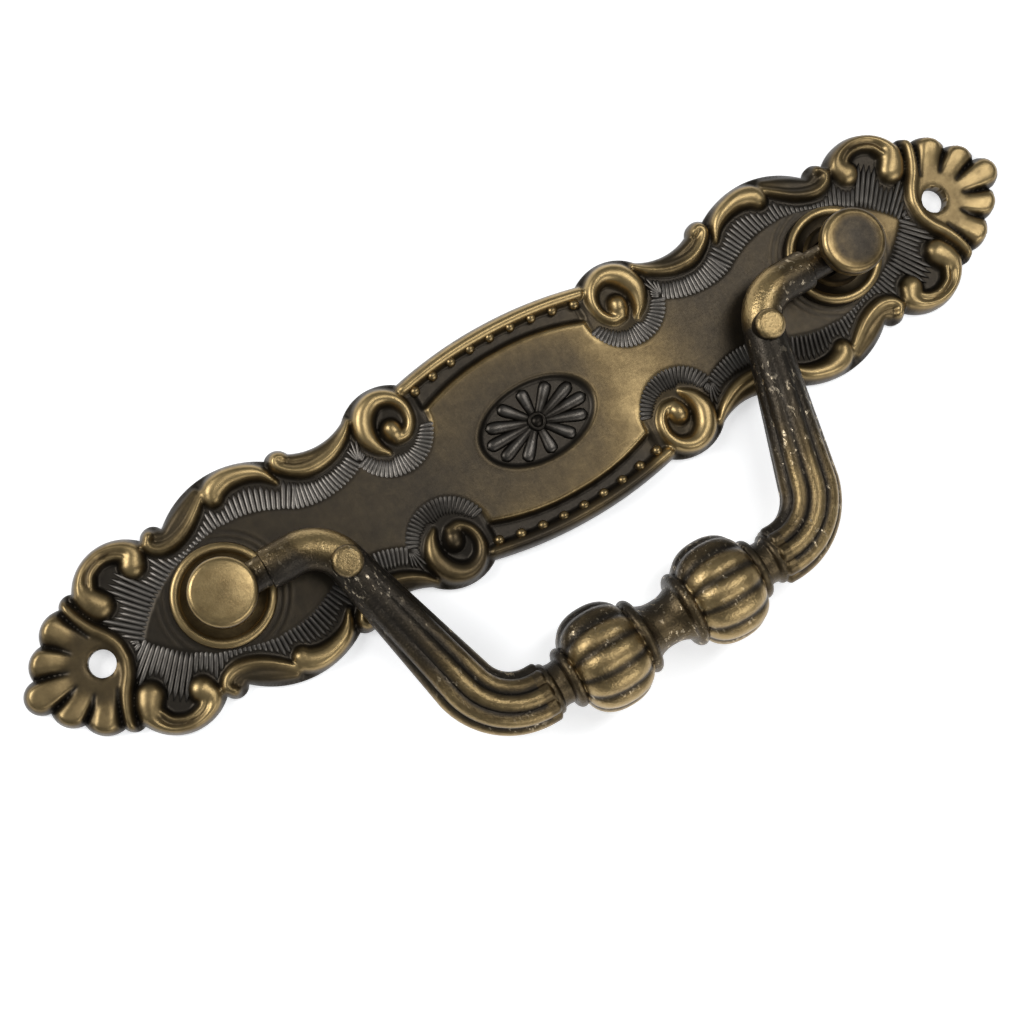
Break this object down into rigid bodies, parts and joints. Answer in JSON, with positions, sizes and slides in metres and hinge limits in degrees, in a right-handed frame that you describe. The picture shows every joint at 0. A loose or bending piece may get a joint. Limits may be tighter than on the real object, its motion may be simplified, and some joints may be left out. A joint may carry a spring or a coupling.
{
  "type": "drawer pull",
  "caption": "Antique brass drawer pull: long scroll-edged backplate with a raised panel, round posts on dished collars, and a swinging bail handle with melon beads.",
  "frame": {"origin": "midway between the two screw holes, on the flat back of the plate that lies on the drawer front", "axes": "+Z out of the drawer front, square to the plate; +X along the plate; the bail hangs towards -Y"},
  "size_m": [0.1496, 0.0528, 0.0147],
  "materials": {
    "plate_brass": "antique patina, buffed on the high points",
    "post_brass": "antique patina, satin",
    "collar_brass": "antique patina, buffed rim",
    "bail_brass": "antique patina, buffed on the high points"
  },
  "bodies": {
    "plate": {"backplate": "plate_brass", "left_post": "post_brass", "right_post": "post_brass", "left_collar": "collar_brass", "right_collar": "collar_brass"},
    "handle": {"bail": "bail_brass"}
  },
  "joints": [
    {"name": "bail_swing", "type": "hinge", "parent": "plate", "child": "handle", "pos_m": [0, 0, 0.0075], "axis": [-1, 0, 0], "range_deg": [0, 180]}
  ]
}
